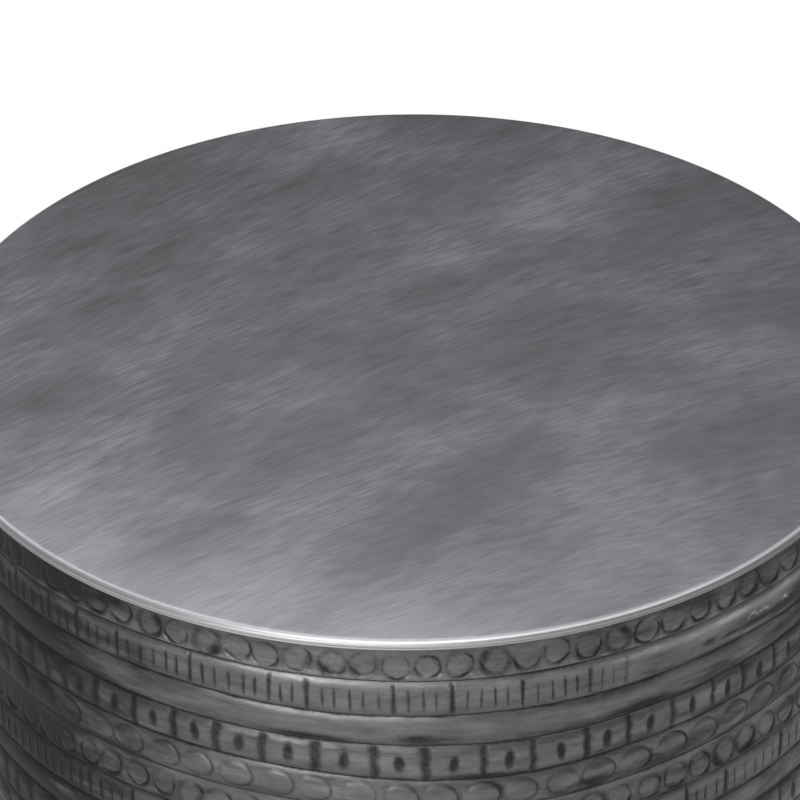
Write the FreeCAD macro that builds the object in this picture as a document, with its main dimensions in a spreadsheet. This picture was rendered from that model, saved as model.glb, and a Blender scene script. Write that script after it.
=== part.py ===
"""Drum side table in chased sheet metal.

Millimetres, +Z up. The origin is on the floor under the middle of the drum, and the front faces -Y.
The wall is one rolled sheet, beaded into rows. The flat top is a second sheet folded over the wall's
hemmed edge, with a board bonded under it and welded steel rings, a hoop and two braces inside.
"""
import FreeCAD, Part
import math
import os

import Sketcher
from FreeCAD import Vector

SIZES = {
    # Top sheet and the fold that joins it to the wall
    "rim_radius": 203.0,  # outside of the folded rim
    "rim_overhang": 2.7,  # rim beyond the crests of the rows
    "edge_round": 2.0,
    "sheet_gauge": 1.2,
    "fold_clearance": 0.3,  # round the wall's hem inside the fold
    # Wall and its rows, which repeat from the top down
    "wall_gauge": 1.2,
    "row_bulge": 2.0,  # crest of a row beyond its creases
    "ring_row": 16.0,
    "tick_row": 17.0,
    "plain_row": 14.4,
    "block_row": 16.3,
    "disc_row": 15.2,
    "periods": 5,  # repeats of all five rows, above one more row each of rings, ticks and plain
    # Foot edge, rolled round a wire
    "foot_lift": 4.0,  # floor to the rolled edge
    "wire_radius": 1.5,
    "wire_clearance": 0.15,
    "curl_neck": 0.6,  # straight wall between the roll and the lowest row
    # Board
    "board_thickness": 12.0,
    "board_clearance": 0.8,  # to the wall
    # Rings, hoop and braces
    "weld_gap": 0.3,  # to the wall
    "ring_thickness": 2.5,
    "ring_leg": 20.0,
    "ring_flange": 28.0,
    "hoop_height": 20.0,
    "brace_width": 25.0,
    "brace_thickness": 5.0,
    "lap_clearance": 0.1,
    # Screws into the board
    "ring_screws": 8,
    "board_screw_radius": 2.0,
    "board_screw_bite": 8.0,
    "board_screw_head_radius": 4.0,
    "board_screw_head": 2.6,
    "board_screw_key": 2.5,  # across the flats of the socket
    "brace_screw_reach": 90.0,  # from the middle of the table
    "screw_clearance": 0.15,
    # Feet
    "pad_height": 12.0,
    "pad_radius": 12.0,
    "pad_tread_radius": 10.5,
    "pad_recess_radius": 6.5,
    "pad_web": 5.0,  # rubber left over the recess
    "foot_screw_radius": 2.5,
    "foot_screw_head_radius": 4.75,
    "foot_screw_head": 2.8,
    "foot_screw_key": 3.0,
    "foot_screw_end": 1.5,  # thread beyond the nut
    "washer_radius": 6.0,
    "washer_thickness": 1.2,
    "nut_flats": 8.0,
    "nut_height": 4.0,
}
LAST_KINDS = ["plain_row", "tick_row", "ring_row"]  # from the foot up
PERIOD_KINDS = ["disc_row", "block_row", *LAST_KINDS]
FEET = {"back_right": 45, "back_left": 135, "front_left": 225, "front_right": 315}  # degrees from +X

doc = FreeCAD.newDocument("drum_side_table")
sheet = doc.addObject("Spreadsheet::Sheet", "sizes")
for line, (alias, number) in enumerate(SIZES.items(), start=1):
    sheet.set(f"A{line}", alias)
    sheet.set(f"B{line}", str(number))
    sheet.setAlias(f"B{line}", alias)
doc.recompute()


def total(kinds):
    """Formula for the height of a stack of rows."""
    return "(" + " + ".join(f"sizes.{kind}" for kind in kinds) + ")"


# Radii and heights that several pieces share, as formulas on the sheet
CREASE = "(sizes.rim_radius - sizes.rim_overhang - sizes.row_bulge)"
INSIDE = f"({CREASE} - sizes.wall_gauge)"
FRAME = f"({INSIDE} - sizes.weld_gap)"
FLANGE_EDGE = f"({FRAME} - sizes.ring_flange)"
FLANGE_MIDDLE = f"({FRAME} - (sizes.ring_thickness + sizes.ring_flange) / 2)"
WIRE_HOLE = "(sizes.wire_radius + sizes.wire_clearance)"
CURL = f"({WIRE_HOLE} + sizes.wall_gauge)"
CURL_MIDDLE = f"({INSIDE} + {CURL})"
CURL_LEVEL = f"(sizes.foot_lift + {CURL})"
ROWS_BASE = f"({CURL_LEVEL} + {CURL} + sizes.curl_neck)"
PERIODS_BASE = f"({ROWS_BASE} + {total(LAST_KINDS)})"
ROWS_TOP = f"({PERIODS_BASE} + sizes.periods * {total(PERIOD_KINDS)})"
HEM_BASE = f"({ROWS_TOP} + sizes.sheet_gauge)"
SHEET_BASE = f"({HEM_BASE} + 2 * sizes.wall_gauge)"
BOARD_BASE = f"({SHEET_BASE} - sizes.board_thickness)"
UPPER_FLANGE_BASE = f"({BOARD_BASE} - sizes.ring_thickness)"
LOWER_FLANGE_TOP = "(sizes.pad_height + sizes.ring_thickness)"
BOARD_SCREW_HOLE = "(sizes.board_screw_radius + sizes.screw_clearance)"
FOOT_SCREW_HOLE = "(sizes.foot_screw_radius + sizes.screw_clearance)"
RING_SCREW_ANGLE = "(180 / sizes.ring_screws)"  # of the first one, from +X


def bind(thing, **formulas):
    """Ties an object's properties to the sheet."""
    for name, formula in formulas.items():
        thing.setExpression(name, formula)
    return thing


def move(thing, x="0", y="0", z="0"):
    """Ties an object's place to the sheet."""
    for axis, formula in {"x": x, "y": y, "z": z}.items():
        thing.setExpression(f"Placement.Base.{axis}", formula)
    return thing


def polar(radius, angle):
    """Formulas for the x and y of a point at a radius and an angle from +X."""
    return f"{radius} * cos({angle})", f"{radius} * sin({angle})"


# Bodies and sketches


def new_body(label):
    return doc.addObject("PartDesign::Body", label)


def origin(body, role):
    """Plane or axis of a body's own origin."""
    return next(each for each in body.Origin.OriginFeatures if each.Role == role)


def new_sketch(body, name, plane="XZ_Plane"):
    """Empty sketch on one of a body's planes. In the XZ plane, x is a radius and y a height."""
    sketch = body.newObject("Sketcher::SketchObject", name)
    sketch.AttachmentSupport = [(origin(body, plane), "")]
    sketch.MapMode = "FlatFace"
    return sketch


def dimension(sketch, kind, *places, start, formula):
    """One dimension of a sketch, tied to the sheet."""
    index = sketch.addConstraint(Sketcher.Constraint(kind, *places, start))
    sketch.setExpression(f"Constraints[{index}]", formula)


def fix_point(sketch, edge, end, x, y):
    """Dimensions a point of an edge from the sketch's origin."""
    dimension(sketch, "DistanceX", -1, 1, edge, end, start=1.0, formula=x)
    dimension(sketch, "DistanceY", -1, 1, edge, end, start=1.0, formula=y)


def chain(sketch, *joints):
    """Joins edge ends in pairs: each joint is an edge and its end, twice."""
    for joint in joints:
        sketch.addConstraint(Sketcher.Constraint("Coincident", *joint))


def rectangle(body, name, inner, outer, low, high):
    """Section of a ring between two radii and two heights."""
    sketch = new_sketch(body, name)
    corners = [Vector(1, 1), Vector(2, 1), Vector(2, 2), Vector(1, 2)]
    for here, there in zip(corners, corners[1:] + corners[:1]):
        sketch.addGeometry(Part.LineSegment(here, there))
    chain(sketch, (0, 2, 1, 1), (1, 2, 2, 1), (2, 2, 3, 1), (3, 2, 0, 1))
    for side, run in enumerate(["Horizontal", "Vertical", "Horizontal", "Vertical"]):
        sketch.addConstraint(Sketcher.Constraint(run, side))
    fix_point(sketch, 0, 1, inner, low)
    fix_point(sketch, 2, 1, outer, high)
    return sketch


def turn(body, sketch, name):
    """Turns a section round the drum's axis."""
    feature = body.newObject("PartDesign::Revolution", name)
    feature.Profile = sketch
    feature.ReferenceAxis = (sketch, ["V_Axis"])
    feature.Angle = 360
    return feature


def ring(body, name, inner, outer, low, high):
    """Turned ring of rectangular section."""
    return turn(body, rectangle(body, f"{name}_section", inner, outer, low, high), name)


def disc(body, name, radius, thickness):
    """Round plate that stands on the body's XY plane."""
    sketch = new_sketch(body, f"{name}_outline", "XY_Plane")
    sketch.addGeometry(Part.Circle(Vector(), Vector(0, 0, 1), 1))
    chain(sketch, (0, 3, -1, 1))
    dimension(sketch, "Radius", 0, start=1.0, formula=radius)
    pad = body.newObject("PartDesign::Pad", name)
    pad.Profile = sketch
    return bind(pad, Length=thickness)


def drill_round(body, name, radius, depth, x, y, count):
    """Drills up from the body's XY plane, the same hole repeated round the axis."""
    sketch = new_sketch(body, f"{name}_place", "XY_Plane")
    sketch.addGeometry(Part.Circle(Vector(1, 1), Vector(0, 0, 1), 1))
    dimension(sketch, "Radius", 0, start=1.0, formula=radius)
    fix_point(sketch, 0, 3, x, y)
    hole = body.newObject("PartDesign::Pocket", f"{name}_first")
    hole.Profile = sketch
    hole.Reversed = True
    bind(hole, Length=depth)
    pattern = body.newObject("PartDesign::PolarPattern", name)
    pattern.Originals = [hole]
    pattern.Axis = (origin(body, "Z_Axis"), [""])
    pattern.Angle = 360
    bind(pattern, Occurrences=count)
    body.Tip = pattern


# Solids without a sketch


def cylinder(name, radius, height, **place):
    return move(bind(doc.addObject("Part::Cylinder", name), Radius=radius, Height=height), **place)


def hexagon(name, flats, height, **place):
    """Upright six-sided bar, sized across its flats."""
    prism = doc.addObject("Part::Prism", name)
    prism.Polygon = 6
    return move(bind(prism, Circumradius=f"{flats} / sqrt(3)", Height=height), **place)


def cut(name, base, *tools):
    """Takes each tool out of a solid in turn."""
    for index, tool in enumerate(tools, start=1):
        result = doc.addObject("Part::Cut", name if index == len(tools) else f"{name}_less_{index}")
        result.Base = base
        result.Tool = tool
        base = result
    return base


def socket_screw(name, kind, shank, x, y, seat):
    """Screw that points up, its head hanging below the height where it seats."""
    under = f"{seat} - sizes.{kind}_head"
    head = cylinder(f"{name}_head", f"sizes.{kind}_head_radius", f"sizes.{kind}_head", x=x, y=y, z=under)
    stem = cylinder(f"{name}_shank", f"sizes.{kind}_radius", shank, x=x, y=y, z=seat)
    whole = doc.addObject("Part::Fuse", f"{name}_blank")
    whole.Base = head
    whole.Tool = stem
    key = hexagon(f"{name}_key", f"sizes.{kind}_key", f"sizes.{kind}_head / 2", x=x, y=y, z=under)
    return cut(name, whole, key)


def group(label, solids):
    """Like pieces that share one node, each a solid of its own."""
    together = doc.addObject("Part::Compound", label)
    together.Links = solids
    return together


# Top sheet: a flat disc whose edge is folded down, round and under the wall's hem


def make_top_sheet():
    body = new_body("top_sheet")
    disc(body, "sheet_disc", "sizes.rim_radius", "sizes.sheet_gauge")
    skirt_inside = "(sizes.rim_radius - sizes.sheet_gauge)"
    lip_inside = f"({CREASE} + sizes.fold_clearance)"
    lip_top = "(-2 * sizes.wall_gauge)"
    lip_base = f"({lip_top} - sizes.sheet_gauge)"
    ring(body, "skirt", skirt_inside, "sizes.rim_radius", lip_top, "sizes.sheet_gauge")
    ring(body, "lip", lip_inside, "sizes.rim_radius", lip_base, lip_top)
    doc.recompute()
    folded = body.Tip
    rim = body.newObject("PartDesign::Fillet", "rounded_rim")
    rim.Base = (folded, [widest_edge(folded.Shape)])
    bind(rim, Radius="sizes.edge_round")
    return move(body, z=SHEET_BASE)


def widest_edge(shape):
    """Name of the round edge that is widest and, of those, highest."""
    named = {f"Edge{index}": edge for index, edge in enumerate(shape.Edges, start=1)}
    return max(named, key=lambda name: (round(named[name].Length, 3), named[name].CenterOfMass.z))


# Wall: rows beaded into one sheet, a hem at the top and a wired roll at the foot


def row_section(body, name, base, kinds):
    """Section of the wall through a stack of rows, an outer and an inner chain of one arc to a row."""
    sketch = new_sketch(body, name)
    crease = sheet.rim_radius - sheet.rim_overhang - sheet.row_bulge
    for radius in (crease, crease - sheet.wall_gauge):
        foot = 0.0
        for kind in kinds:
            head = foot + getattr(sheet, kind)
            crest = Vector(radius + sheet.row_bulge, (foot + head) / 2)
            sketch.addGeometry(Part.Arc(Vector(radius, foot), crest, Vector(radius, head)))
            foot = head
    rows = len(kinds)
    for row, kind in enumerate(kinds):
        outer, inner = row, rows + row
        bend = f"(sizes.{kind} ^ 2 / 4 + sizes.row_bulge ^ 2) / (2 * sizes.row_bulge)"
        for arc in (outer, inner):
            start = sketch.Geometry[arc].Radius
            dimension(sketch, "Radius", arc, start=start, formula=bend)
        height = getattr(sheet, kind)
        dimension(sketch, "DistanceY", outer, 1, outer, 2, start=height, formula=f"sizes.{kind}")
        sketch.addConstraint(Sketcher.Constraint("Vertical", outer, 1, outer, 2))
        sketch.addConstraint(Sketcher.Constraint("Vertical", inner, 1, inner, 2))
        sketch.addConstraint(Sketcher.Constraint("Horizontal", outer, 2, inner, 2))
        if row:
            chain(sketch, (outer - 1, 2, outer, 1), (inner - 1, 2, inner, 1))
    ends = ((0, 1), (rows - 1, 2))
    for place, (row, end) in enumerate(ends):
        points = [sketch.getPoint(row, end), sketch.getPoint(rows + row, end)]
        sketch.addGeometry(Part.LineSegment(*points))
        chain(sketch, (2 * rows + place, 1, row, end), (2 * rows + place, 2, rows + row, end))
    sketch.addConstraint(Sketcher.Constraint("Horizontal", 2 * rows))
    dimension(sketch, "DistanceX", -1, 1, 0, 1, start=crease, formula=CREASE)
    dimension(sketch, "DistanceX", rows, 1, 0, 1, start=sheet.wall_gauge, formula="sizes.wall_gauge")
    dimension(sketch, "DistanceY", -1, 1, 0, 1, start=1.0, formula=base)
    return sketch


def rolled_section(body):
    """Section of the foot edge: down the wall, then three quarters of the way round the wire."""
    sketch = new_sketch(body, "roll_section")
    hole = sheet.wire_radius + sheet.wire_clearance
    outside = hole + sheet.wall_gauge
    middle = Vector(sheet.rim_radius, outside)
    up = Vector(0, 2 * outside)
    outer_start, inner_start = middle - Vector(outside, 0), middle - Vector(hole, 0)
    outer_end, inner_end = middle + Vector(0, outside), middle + Vector(0, hole)
    for edge in (
        Part.LineSegment(outer_start + up, outer_start),
        Part.ArcOfCircle(Part.Circle(middle, Vector(0, 0, 1), outside), math.pi, math.pi * 5 / 2),
        Part.LineSegment(outer_end, inner_end),
        Part.ArcOfCircle(Part.Circle(middle, Vector(0, 0, 1), hole), math.pi, math.pi * 5 / 2),
        Part.LineSegment(inner_start, inner_start + up),
        Part.LineSegment(inner_start + up, outer_start + up),
    ):
        sketch.addGeometry(edge)
    chain(sketch, (0, 2, 1, 1), (1, 2, 2, 1), (2, 2, 3, 2), (3, 1, 4, 1), (4, 2, 5, 1), (5, 2, 0, 1))
    chain(sketch, (1, 3, 3, 3))
    for run, *place in (
        ("Vertical", 0),
        ("Vertical", 2),
        ("Vertical", 4),
        ("Horizontal", 5),
        ("Horizontal", 1, 1, 1, 3),
        ("Horizontal", 3, 1, 3, 3),
        ("Vertical", 1, 2, 1, 3),
    ):
        sketch.addConstraint(Sketcher.Constraint(run, *place))
    dimension(sketch, "Radius", 1, start=outside, formula=CURL)
    dimension(sketch, "Radius", 3, start=hole, formula=WIRE_HOLE)
    fix_point(sketch, 1, 3, CURL_MIDDLE, CURL_LEVEL)
    dimension(sketch, "DistanceY", -1, 1, 4, 2, start=1.0, formula=ROWS_BASE)
    return sketch


def make_drum_shell():
    body = new_body("drum_shell")
    periods = turn(body, row_section(body, "period_section", PERIODS_BASE, PERIOD_KINDS), "period_rows")
    doc.recompute()
    pattern = body.newObject("PartDesign::LinearPattern", "repeated_rows")
    pattern.Originals = [periods]
    pattern.Direction = (origin(body, "Z_Axis"), [""])
    bind(pattern, Length=f"(sizes.periods - 1) * {total(PERIOD_KINDS)}", Occurrences="sizes.periods")
    body.Tip = pattern
    turn(body, row_section(body, "last_section", ROWS_BASE, LAST_KINDS), "last_rows")
    turn(body, rolled_section(body), "rolled_foot")
    hem_edge = "(sizes.rim_radius - sizes.sheet_gauge - sizes.fold_clearance)"
    ring(body, "neck", INSIDE, CREASE, ROWS_TOP, SHEET_BASE)
    ring(body, "hem", INSIDE, hem_edge, HEM_BASE, SHEET_BASE)
    return body


def make_rim_wire():
    wire = bind(doc.addObject("Part::Torus", "rim_wire"), Radius1=CURL_MIDDLE, Radius2="sizes.wire_radius")
    return move(wire, z=CURL_LEVEL)


# Board under the top sheet, drilled for the screws that come up through the frame


def make_top_board():
    body = new_body("top_board")
    disc(body, "board_disc", f"{INSIDE} - sizes.board_clearance", "sizes.board_thickness")
    pilot = "sizes.board_screw_bite + sizes.screw_clearance"
    ring_place = polar(FLANGE_MIDDLE, RING_SCREW_ANGLE)
    drill_round(body, "ring_pilots", BOARD_SCREW_HOLE, pilot, *ring_place, "sizes.ring_screws")
    drill_round(body, "brace_pilots", BOARD_SCREW_HOLE, pilot, "sizes.brace_screw_reach", "0", "4")
    return move(body, z=BOARD_BASE)


# Frame: two angle rings, a hoop and two crossed braces, welded to the wall and to each other


def make_angle_ring(label, leg_low, leg_high, base, hole, first_angle, count):
    """Angle ring whose flange stands on the body's XY plane and points inwards."""
    body = new_body(label)
    leg_inside = f"({FRAME} - sizes.ring_thickness)"
    ring(body, f"{label}_flange", FLANGE_EDGE, FRAME, "0", "sizes.ring_thickness")
    ring(body, f"{label}_leg", leg_inside, FRAME, leg_low, leg_high)
    place = polar(FLANGE_MIDDLE, first_angle)
    drill_round(body, f"{label}_holes", hole, "sizes.ring_thickness", *place, count)
    return move(body, z=base)


def make_upper_ring():
    leg_low = "(sizes.ring_thickness - sizes.ring_leg)"
    return make_angle_ring(
        "upper_ring", leg_low, "sizes.ring_thickness", UPPER_FLANGE_BASE, BOARD_SCREW_HOLE, RING_SCREW_ANGLE,
        "sizes.ring_screws",
    )


def make_lower_ring():
    first_foot = min(FEET.values())
    return make_angle_ring(
        "lower_ring", "0", "sizes.ring_leg", "sizes.pad_height", FOOT_SCREW_HOLE, first_foot, str(len(FEET))
    )


def make_middle_hoop():
    """Flat hoop across the crease over the disc row of the middle period."""
    body = new_body("middle_hoop")
    ring(body, "hoop", f"{FRAME} - sizes.ring_thickness", FRAME, "0", "sizes.hoop_height")
    whole_periods = f"floor(sizes.periods / 2) * {total(PERIOD_KINDS)}"
    return move(body, z=f"{PERIODS_BASE} + {whole_periods} + sizes.disc_row - sizes.hoop_height / 2")


def make_brace(label, across, notch_over):
    """Flat bar under the board, its ends cut round to meet the upper ring's flange.

    The two bars are halved where they cross: one is notched from above and the other from below.
    """
    length = f"(2 * {FLANGE_EDGE})"
    bar = doc.addObject("Part::Box", f"{label}_bar")
    notch = doc.addObject("Part::Box", f"{label}_notch")
    base = f"({BOARD_BASE} - sizes.brace_thickness)"
    notch_width = "(sizes.brace_width + 2 * sizes.lap_clearance)"
    notch_depth = "(sizes.brace_thickness + sizes.lap_clearance) / 2"
    bind(notch, Length=notch_width, Width=notch_width, Height=notch_depth)
    notch_base = f"{BOARD_BASE} - {notch_depth}" if notch_over else base
    move(notch, f"-{notch_width} / 2", f"-{notch_width} / 2", notch_base)
    bind(bar, Height="sizes.brace_thickness")
    if across:
        bind(bar, Length=length, Width="sizes.brace_width")
        move(bar, f"-{length} / 2", "-sizes.brace_width / 2", base)
        places = [("sizes.brace_screw_reach", "0"), ("-sizes.brace_screw_reach", "0")]
    else:
        bind(bar, Length="sizes.brace_width", Width=length)
        move(bar, "-sizes.brace_width / 2", f"-{length} / 2", base)
        places = [("0", "sizes.brace_screw_reach"), ("0", "-sizes.brace_screw_reach")]
    trim = cylinder(f"{label}_trim", f"{FLANGE_EDGE} - sizes.weld_gap", "sizes.brace_thickness", z=base)
    trimmed = doc.addObject("Part::Common", f"{label}_trimmed")
    trimmed.Base = bar
    trimmed.Tool = trim
    holes = [
        cylinder(f"{label}_hole_{index}", BOARD_SCREW_HOLE, "sizes.brace_thickness", x=x, y=y, z=base)
        for index, (x, y) in enumerate(places)
    ]
    return cut(label, trimmed, notch, *holes)


# Screws up into the board, through the upper ring's flange and through the braces


def make_ring_screws():
    shank = "sizes.ring_thickness + sizes.board_screw_bite"
    screws = []
    for number in range(int(sheet.ring_screws)):
        x, y = polar(FLANGE_MIDDLE, f"{RING_SCREW_ANGLE} * {2 * number + 1}")
        screws.append(socket_screw(f"ring_screw_{number}", "board_screw", shank, x, y, UPPER_FLANGE_BASE))
    return group("ring_screws", screws)


def make_brace_screws():
    shank = "sizes.brace_thickness + sizes.board_screw_bite"
    seat = f"({BOARD_BASE} - sizes.brace_thickness)"
    screws = []
    for number in range(4):
        x, y = polar("sizes.brace_screw_reach", 90 * number)
        screws.append(socket_screw(f"brace_screw_{number}", "board_screw", shank, x, y, seat))
    return group("brace_screws", screws)


# Feet: a rubber pad under the lower ring's flange, held by a screw, a washer and a nut


def make_pad(corner, x, y):
    label = f"foot_pad_{corner}"
    cone = doc.addObject("Part::Cone", f"{label}_cone")
    bind(cone, Radius1="sizes.pad_tread_radius", Radius2="sizes.pad_radius", Height="sizes.pad_height")
    move(cone, x, y)
    recess_depth = "sizes.pad_height - sizes.pad_web"
    recess = cylinder(f"{label}_recess", "sizes.pad_recess_radius", recess_depth, x=x, y=y)
    bore = cylinder(f"{label}_bore", FOOT_SCREW_HOLE, "sizes.pad_height", x=x, y=y)
    return cut(label, cone, recess, bore)


def make_washer(corner, x, y, seat):
    label = f"washer_{corner}"
    plate = cylinder(f"{label}_disc", "sizes.washer_radius", "sizes.washer_thickness", x=x, y=y, z=seat)
    bore = cylinder(f"{label}_bore", FOOT_SCREW_HOLE, "sizes.washer_thickness", x=x, y=y, z=seat)
    return cut(label, plate, bore)


def make_nut(corner, x, y):
    label = f"nut_{corner}"
    blank = hexagon(f"{label}_blank", "sizes.nut_flats", "sizes.nut_height", x=x, y=y, z=LOWER_FLANGE_TOP)
    bore = cylinder(f"{label}_bore", FOOT_SCREW_HOLE, "sizes.nut_height", x=x, y=y, z=LOWER_FLANGE_TOP)
    return cut(label, blank, bore)


def make_feet():
    """The four pads as nodes of their own, and the fasteners of all four as three groups."""
    seat = "(sizes.pad_height - sizes.pad_web - sizes.washer_thickness)"
    shank = f"{LOWER_FLANGE_TOP} - {seat} + sizes.nut_height + sizes.foot_screw_end"
    places = {corner: polar(FLANGE_MIDDLE, angle) for corner, angle in FEET.items()}
    pads = [make_pad(corner, x, y) for corner, (x, y) in places.items()]
    washers = [make_washer(corner, x, y, seat) for corner, (x, y) in places.items()]
    nuts = [make_nut(corner, x, y) for corner, (x, y) in places.items()]
    screws = [
        socket_screw(f"foot_screw_{corner}", "foot_screw", shank, x, y, seat)
        for corner, (x, y) in places.items()
    ]
    return [*pads, group("foot_screws", screws), group("foot_washers", washers), group("foot_nuts", nuts)]


pieces = [
    make_top_sheet(),
    make_drum_shell(),
    make_rim_wire(),
    make_top_board(),
    make_upper_ring(),
    make_middle_hoop(),
    make_lower_ring(),
    make_brace("brace_left_right", across=True, notch_over=False),
    make_brace("brace_front_back", across=False, notch_over=True),
    make_ring_screws(),
    make_brace_screws(),
    *make_feet(),
]
doc.recompute()

failed = [each.Name for each in doc.Objects if {"Invalid", "Error"} & set(each.State)]
failed += [piece.Label for piece in pieces if piece.Shape.isNull() or not piece.Shape.isValid()]
if failed:
    raise RuntimeError(f"not built: {', '.join(failed)}")

os.makedirs("parts", exist_ok=True)
for piece in pieces:
    piece.Shape.exportStep(f"parts/{piece.Label}.step")
    print(piece.Label, len(piece.Shape.Solids), round(piece.Shape.Volume, 1), piece.Shape.BoundBox)
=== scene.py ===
import math

import bpy
import numpy as np
from mathutils import Matrix, Vector


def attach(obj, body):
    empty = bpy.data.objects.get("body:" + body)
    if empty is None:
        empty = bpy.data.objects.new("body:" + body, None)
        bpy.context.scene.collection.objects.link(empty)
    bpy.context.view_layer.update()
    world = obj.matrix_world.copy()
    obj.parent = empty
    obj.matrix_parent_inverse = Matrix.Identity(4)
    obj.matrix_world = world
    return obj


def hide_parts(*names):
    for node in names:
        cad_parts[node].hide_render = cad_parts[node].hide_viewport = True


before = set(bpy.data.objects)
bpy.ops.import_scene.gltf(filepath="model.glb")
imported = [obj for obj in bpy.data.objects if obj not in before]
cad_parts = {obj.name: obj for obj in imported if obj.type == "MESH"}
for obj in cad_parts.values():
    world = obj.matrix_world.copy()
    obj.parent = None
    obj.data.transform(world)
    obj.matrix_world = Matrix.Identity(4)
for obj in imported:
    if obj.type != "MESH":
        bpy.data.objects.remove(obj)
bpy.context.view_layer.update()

MM = 0.001  # the drawings are in millimetres and Blender is in metres


# Steel frame: two angle rings and a flat hoop rolled from mild steel, and two flat bars halved where
# they cross. All are welded together inside the drum and brushed over with a thin black paint.
def linear(code):
    """Colour written as sRGB hex, as Blender's linear RGBA."""
    parts = [int(code[place : place + 2], 16) / 255 for place in (1, 3, 5)]
    return [part / 12.92 if part <= 0.04045 else ((part + 0.055) / 1.055) ** 2.4 for part in parts] + [1.0]


def add(tree, kind, inputs=None, stops=(), **settings):
    """Adds a shader node: inputs are values or sockets, stops are places and colours of a ramp."""
    node = tree.nodes.new(kind)
    for name, value in settings.items():
        setattr(node, name, value)
    for order, (place, code) in enumerate(stops):
        band = node.color_ramp.elements
        stop = band[order] if order < len(band) else band.new(place)
        stop.position = place
        stop.color = linear(code)
    for name, value in (inputs or {}).items():
        if isinstance(value, bpy.types.NodeSocket):
            tree.links.new(value, node.inputs[name])
        else:
            node.inputs[name].default_value = value
    return node


def finish_of(name, inputs):
    """New material whose principled shader is set up by name: returns it, its node tree and its shader."""
    material = bpy.data.materials.new(name)
    material.use_nodes = True
    material.node_tree.nodes.clear()
    shader = add(material.node_tree, "ShaderNodeBsdfPrincipled", inputs)
    output = add(material.node_tree, "ShaderNodeOutputMaterial")
    material.node_tree.links.new(shader.outputs[0], output.inputs["Surface"])
    return material, material.node_tree, shader


def patches(tree, where, sizes, detail=2.0):
    """Noise whose patches are about as long, wide and tall as the three sizes."""
    place = add(tree, "ShaderNodeMapping", {"Vector": where, "Scale": [1 / size for size in sizes]})
    noise = {"Vector": place.outputs[0], "Scale": 1.0, "Detail": detail}
    return add(tree, "ShaderNodeTexNoise", noise).outputs["Fac"]


def layered(tree, layers, shares, total):
    """Adds each layer's share to the total, one after the other."""
    for layer, share in zip(layers, shares):
        inputs = {0: layer, 1: share, 2: total}
        total = add(tree, "ShaderNodeMath", inputs, operation="MULTIPLY_ADD").outputs[0]
    return total


def dress(node_name, material):
    """Gives a carried-over node its finish."""
    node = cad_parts[node_name]
    node.data.materials.clear()
    node.data.materials.append(material)


# Air-dried brush paint: near black, satin, with slow lumps where the brush left more of it.
BRUSH_LUMP = 6 * MM
black_paint, tree, shader = finish_of("brushed_black_paint", {"Metallic": 0.0})
where = add(tree, "ShaderNodeTexCoord").outputs["Object"]
lumps = patches(tree, where, [BRUSH_LUMP] * 3, 4.0)
colour = add(tree, "ShaderNodeValToRGB", {"Fac": lumps}, [(0.3, "#1c1c1d"), (0.7, "#2b2b2c")])
tree.links.new(colour.outputs["Color"], shader.inputs["Base Color"])
sheen = add(tree, "ShaderNodeMapRange", {"Value": lumps, "To Min": 0.38, "To Max": 0.56})
tree.links.new(sheen.outputs["Result"], shader.inputs["Roughness"])
brushing = add(tree, "ShaderNodeBump", {"Height": lumps, "Strength": 0.3, "Distance": 0.3 * MM})
tree.links.new(brushing.outputs["Normal"], shader.inputs["Normal"])
for part in ("upper_ring", "middle_hoop", "lower_ring", "brace_left_right", "brace_front_back"):
    dress(part, black_paint)


# Board: a disc of medium-density fibreboard under the top sheet, screwed to the upper ring and left raw.
FIBRE_LONG, FIBRE_WIDE, BOARD_CLOUD = 3 * MM, 0.4 * MM, 40 * MM
CLOUD_SHARE = 0.5  # of the slow clouds in the board's colour
fibreboard, tree, shader = finish_of("raw_fibreboard", {"Metallic": 0.0, "Roughness": 0.85})
where = add(tree, "ShaderNodeTexCoord").outputs["Object"]
fibres = patches(tree, where, [FIBRE_LONG, FIBRE_WIDE, FIBRE_WIDE], 3.0)
clouds = patches(tree, where, [BOARD_CLOUD] * 3)
blend = layered(tree, [clouds], [CLOUD_SHARE], fibres)
tans = [(0.55, "#7f6244"), (0.75, "#9c7b57"), (0.95, "#b3946e")]
colour = add(tree, "ShaderNodeValToRGB", {"Fac": blend}, tans)
tree.links.new(colour.outputs["Color"], shader.inputs["Base Color"])
nap = add(tree, "ShaderNodeBump", {"Height": fibres, "Strength": 0.4, "Distance": 0.1 * MM})
tree.links.new(nap.outputs["Normal"], shader.inputs["Normal"])
dress("top_board", fibreboard)


# Rim wire: drawn mild steel wire that the foot of the wall is rolled round, grey with fine draw lines.
DRAW_LONG, DRAW_FINE = 25 * MM, 0.3 * MM
drawn_steel, tree, shader = finish_of("drawn_steel_wire", {"Metallic": 1.0})
where = add(tree, "ShaderNodeTexCoord").outputs["Object"]
draw_lines = patches(tree, where, [DRAW_LONG, DRAW_LONG, DRAW_FINE])
colour = add(tree, "ShaderNodeValToRGB", {"Fac": draw_lines}, [(0.3, "#6f6f70"), (0.7, "#949495")])
tree.links.new(colour.outputs["Color"], shader.inputs["Base Color"])
gloss = add(tree, "ShaderNodeMapRange", {"Value": draw_lines, "To Min": 0.3, "To Max": 0.5})
tree.links.new(gloss.outputs["Result"], shader.inputs["Roughness"])
dress("rim_wire", drawn_steel)


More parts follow.
